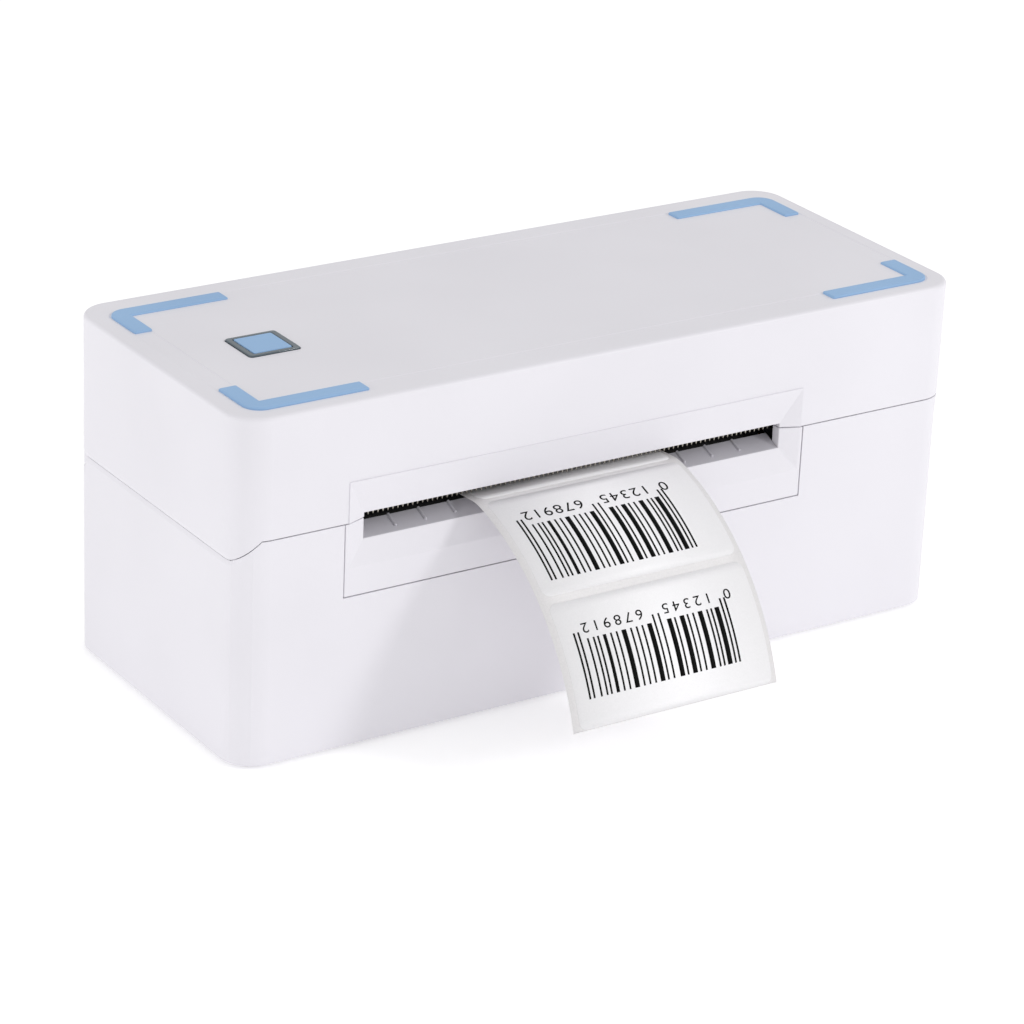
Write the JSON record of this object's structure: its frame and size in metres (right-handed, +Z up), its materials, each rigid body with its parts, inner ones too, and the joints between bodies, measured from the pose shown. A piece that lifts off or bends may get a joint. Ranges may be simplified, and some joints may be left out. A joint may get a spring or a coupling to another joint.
{
  "type": "thermal label printer",
  "caption": "Desktop thermal label printer: box case with rear-hinged lid, off-centre front exit slot with tear bar, top feed button, rear label inlet and a hanging strip of printed labels.",
  "frame": {"origin": "on the surface it stands on, under the middle of the case", "axes": "+X to the right seen from the front, +Y to the back, +Z up; the labels leave towards -Y"},
  "size_m": [0.205, 0.1306, 0.0885],
  "materials": {
    "case_white": "satin moulded ABS",
    "foot_rubber": "soft grey-black rubber",
    "screw_steel": "zinc plated",
    "chassis_grey": "glass-filled dark grey plastic",
    "bush_bronze": "oiled sintered bronze",
    "motor_steel": "drawn steel can",
    "zinc_steel": "zinc-plated pressed steel",
    "ground_steel": "ground steel rod",
    "board_green": "green solder mask",
    "connector_steel": "nickel-plated shell",
    "black_plastic": "black moulded plastic",
    "spring_steel": "spring steel",
    "liner_paper": "pale glassine backing",
    "label_paper": "white thermal coating",
    "cable_white": "white flat flexible cable",
    "pad_blue": "matt light blue soft inlay",
    "smoke_frame": "smoked clear plastic",
    "blade_steel": "stamped stainless steel",
    "head_aluminium": "extruded aluminium",
    "head_ceramic": "glazed head substrate",
    "key_blue": "matt light blue key",
    "platen_rubber": "ground silicone rubber",
    "gear_acetal": "natural acetal",
    "pinion_brass": "cut brass"
  },
  "bodies": {
    "base": {"lower_case": "case_white", "bottom_plate": "case_white", "rubber_feet": "foot_rubber", "case_screws": "screw_steel", "front_bezel": "case_white", "chassis": "chassis_grey", "chassis_screws": "screw_steel", "platen_bushes": "bush_bronze", "stepper_motor": "motor_steel", "motor_bracket": "zinc_steel", "bracket_screws": "screw_steel", "idler_axle": "ground_steel", "guide_axle": "ground_steel", "main_board": "board_green", "board_screws": "screw_steel", "usb_socket": "connector_steel", "power_socket": "black_plastic", "switch_housing": "black_plastic", "gap_sensor": "black_plastic", "latch_springs": "spring_steel", "latch_screws": "screw_steel", "hinge_pins": "ground_steel", "label_liner": "liner_paper", "labels": "label_paper", "head_cable": "cable_white"},
    "lid": {"top_cover": "case_white", "corner_pads": "pad_blue", "button_frame": "smoke_frame", "button_board": "board_green", "button_board_screws": "screw_steel", "head_holder": "zinc_steel", "holder_screws": "screw_steel", "head_springs": "spring_steel", "tear_bar": "blade_steel", "tear_bar_screws": "screw_steel", "strike_pins": "ground_steel"},
    "print_head": {"heat_sink": "head_aluminium", "heater_strip": "head_ceramic", "head_guide_pins": "ground_steel"},
    "feed_button": {"feed_button": "key_blue"},
    "platen": {"platen_shaft": "ground_steel", "platen_rubber": "platen_rubber", "platen_gear": "gear_acetal"},
    "idler": {"idler_gear": "gear_acetal"},
    "motor_rotor": {"motor_shaft": "ground_steel", "motor_pinion": "pinion_brass"},
    "left_guide": {"left_guide": "chassis_grey"},
    "right_guide": {"right_guide": "chassis_grey"},
    "guide_pinion": {"guide_pinion": "gear_acetal"},
    "power_rocker": {"power_rocker": "black_plastic"}
  },
  "joints": [
    {"name": "lid_hinge", "type": "hinge", "parent": "base", "child": "lid", "pos_m": [0, 0.038, 0.0522], "axis": [-1, 0, 0], "range_deg": [0, 72], "deforming": ["latch_springs", "head_cable"]},
    {"name": "head_float", "type": "slide", "parent": "lid", "child": "print_head", "axis": [0, 0, 1], "range_m": [0, 0.001], "stiffness_N_per_m": 600, "springref_m": -0.004, "deforming": ["head_springs", "head_cable"]},
    {"name": "feed_button_press", "type": "slide", "parent": "lid", "child": "feed_button", "axis": [0, 0, 1], "range_m": [-0.0008, 0], "stiffness_N_per_m": 800, "springref_m": 0.0006},
    {"name": "platen_spin", "type": "hinge", "parent": "base", "child": "platen", "pos_m": [0, -0.028, 0.048], "axis": [1, 0, 0], "continuous": true},
    {"name": "idler_spin", "type": "hinge", "parent": "base", "child": "idler", "pos_m": [0.063, -0.01975, 0.03608], "axis": [1, 0, 0], "continuous": true},
    {"name": "motor_spin", "type": "hinge", "parent": "base", "child": "motor_rotor", "pos_m": [0.066, -0.003, 0.031], "axis": [1, 0, 0], "continuous": true},
    {"name": "left_guide_slide", "type": "slide", "parent": "base", "child": "left_guide", "axis": [1, 0, 0], "range_m": [-0.027, 0]},
    {"name": "right_guide_slide", "type": "slide", "parent": "base", "child": "right_guide", "axis": [1, 0, 0], "range_m": [0, 0.027]},
    {"name": "guide_pinion_spin", "type": "hinge", "parent": "base", "child": "guide_pinion", "pos_m": [-0.0093, 0.019, 0.028], "axis": [0, 1, 0], "range_deg": [-260, 0]},
    {"name": "power_rocker_tilt", "type": "hinge", "parent": "base", "child": "power_rocker", "pos_m": [0.076, 0.04, 0.033], "axis": [0, 0, 1], "range_deg": [0, 12]}
  ],
  "couplings": [
    {"joint": "idler_spin", "follows": "platen_spin", "ratio": -1.6667},
    {"joint": "motor_spin", "follows": "platen_spin", "ratio": 6.3889},
    {"joint": "right_guide_slide", "follows": "left_guide_slide", "ratio": -1},
    {"joint": "guide_pinion_spin", "follows": "left_guide_slide", "rad_per_m": 166.67}
  ]
}
